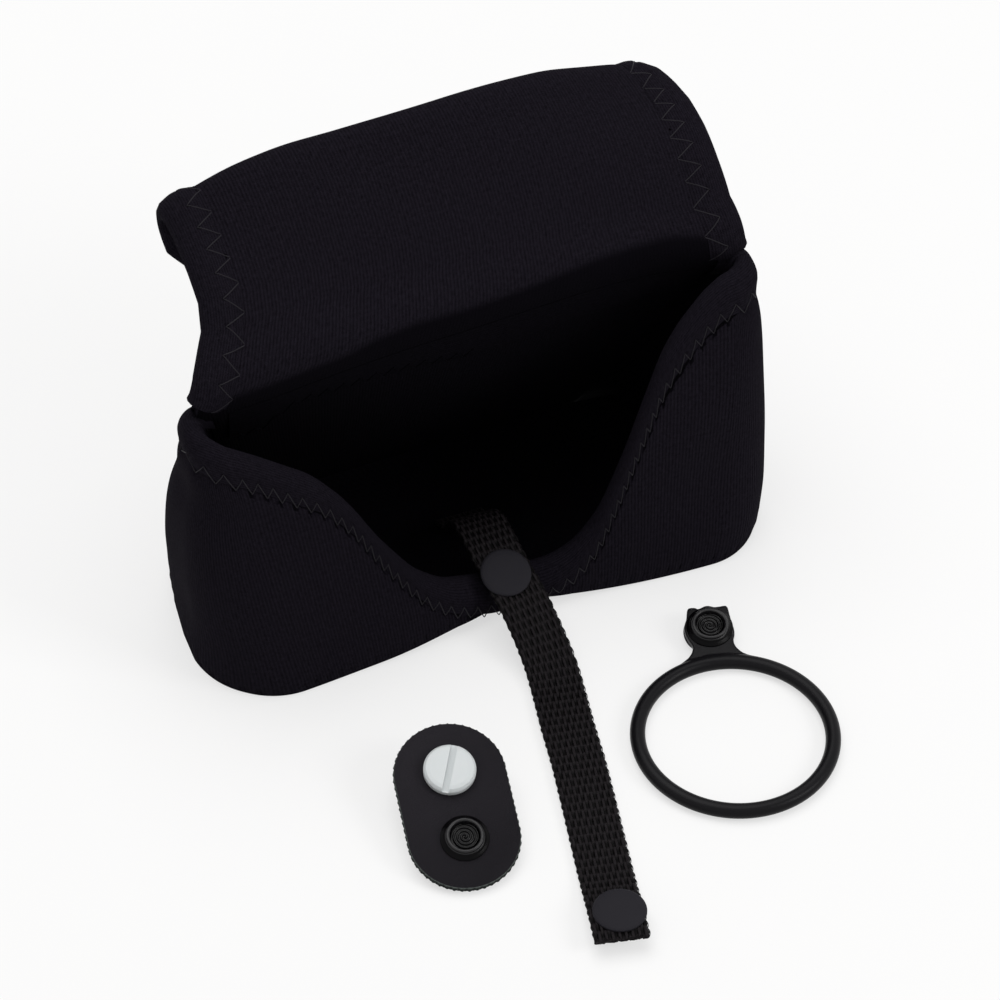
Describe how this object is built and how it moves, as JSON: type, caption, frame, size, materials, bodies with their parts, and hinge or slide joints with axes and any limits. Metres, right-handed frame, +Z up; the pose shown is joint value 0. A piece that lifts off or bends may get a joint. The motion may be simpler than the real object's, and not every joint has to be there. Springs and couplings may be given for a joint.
{
  "type": "soft camera case",
  "caption": "Soft stretch-cloth camera pouch standing open, flap rolled back, with snap tether, leather tripod tab with slotted screw, and rubber lens ring",
  "frame": {"origin": "on the table under the middle of the pouch's floor panel", "axes": "+X to the right along the pouch, -Y to its front, +Z up from the table"},
  "size_m": [0.15, 0.1722, 0.1115],
  "materials": {
    "neoprene": "matte knit",
    "binding": "matte knit tape",
    "lining": "matte knit tape",
    "webbing": "coarse woven",
    "cap": "matt enamel",
    "snap": "gloss",
    "leather": "flat, cut edges",
    "nylon": "translucent satin",
    "rubber": "satin"
  },
  "bodies": {
    "pouch": {"floor_panel": "neoprene", "front_panel": "neoprene", "back_panel": "neoprene", "lip_binding": "binding", "mouth_tape": "lining", "strap_inner": "webbing", "lip_snap_cap": "cap", "lip_snap_socket": "snap", "lip_snap_stud": "snap", "lip_snap_rivet": "cap"},
    "flap_1": {"flap_panel_1": "neoprene", "flap_binding_left_1": "binding", "flap_binding_right_1": "binding"},
    "flap_2": {"flap_panel_2": "neoprene", "flap_binding_left_2": "binding", "flap_binding_right_2": "binding"},
    "flap_3": {"flap_panel_3": "neoprene", "flap_binding_left_3": "binding", "flap_binding_right_3": "binding"},
    "flap_4": {"flap_panel_4": "neoprene", "flap_binding_left_4": "binding", "flap_binding_right_4": "binding"},
    "flap_5": {"flap_panel_5": "neoprene", "flap_end_binding": "binding"},
    "tether_front": {"strap_front": "webbing"},
    "tether_end": {"strap_end": "webbing", "tip_snap_cap": "cap", "tip_snap_stud": "snap"},
    "tab": {"leather_tab": "leather", "tab_snap_socket": "snap", "tab_snap_cap": "cap"},
    "screw": {"tripod_screw": "nylon"},
    "ring": {"lens_ring": "rubber", "ring_snap_socket": "snap", "ring_snap_cap": "cap"}
  },
  "joints": [
    {"name": "flap_fold", "type": "hinge", "parent": "pouch", "child": "flap_1", "pos_m": [0, -0.01158, 0.0813], "axis": [1, 0, 0], "range_deg": [0, 103]},
    {"name": "flap_crease", "type": "hinge", "parent": "flap_1", "child": "flap_2", "pos_m": [0, 0.00112, 0.09104], "axis": [1, 0, 0], "range_deg": [0, 104.6]},
    {"name": "roll_first", "type": "hinge", "parent": "flap_2", "child": "flap_3", "pos_m": [0, 0.02492, 0.1093], "axis": [1, 0, 0], "range_deg": [0, 78.1]},
    {"name": "roll_second", "type": "hinge", "parent": "flap_3", "child": "flap_4", "pos_m": [0, 0.03185, 0.10643], "axis": [1, 0, 0], "range_deg": [0, 60.1]},
    {"name": "roll_third", "type": "hinge", "parent": "flap_4", "child": "flap_5", "pos_m": [0, 0.03283, 0.09899], "axis": [1, 0, 0], "range_deg": [0, 60.1]},
    {"name": "tether_lift", "type": "hinge", "parent": "pouch", "child": "tether_front", "pos_m": [0.00015, -0.0379, 0.01019], "axis": [-0.9982, -0.06, 0], "range_deg": [0, 28]},
    {"name": "tether_bend", "type": "hinge", "parent": "tether_front", "child": "tether_end", "pos_m": [-0.0045, -0.08716, 0.0018], "axis": [-0.9744, 0.225, 0], "range_deg": [0, 90]},
    {"name": "tab_lift", "type": "slide", "parent": "pouch", "child": "tab", "axis": [0, 0, 1], "range_m": [0, 0.06]},
    {"name": "screw_turn", "type": "hinge", "parent": "tab", "child": "screw", "pos_m": [-0.03475, -0.07903, 0.00993], "axis": [-0.0456, -0.2462, 0.9681], "continuous": true},
    {"name": "ring_lift", "type": "slide", "parent": "pouch", "child": "ring", "axis": [0, 0, 1], "range_m": [0, 0.06]}
  ],
  "couplings": [
    {"joint": "flap_crease", "follows": "flap_fold", "ratio": 1.0146},
    {"joint": "roll_first", "follows": "flap_fold", "ratio": 0.75728},
    {"joint": "roll_second", "follows": "flap_fold", "ratio": 0.58252},
    {"joint": "roll_third", "follows": "flap_fold", "ratio": 0.58252}
  ]
}
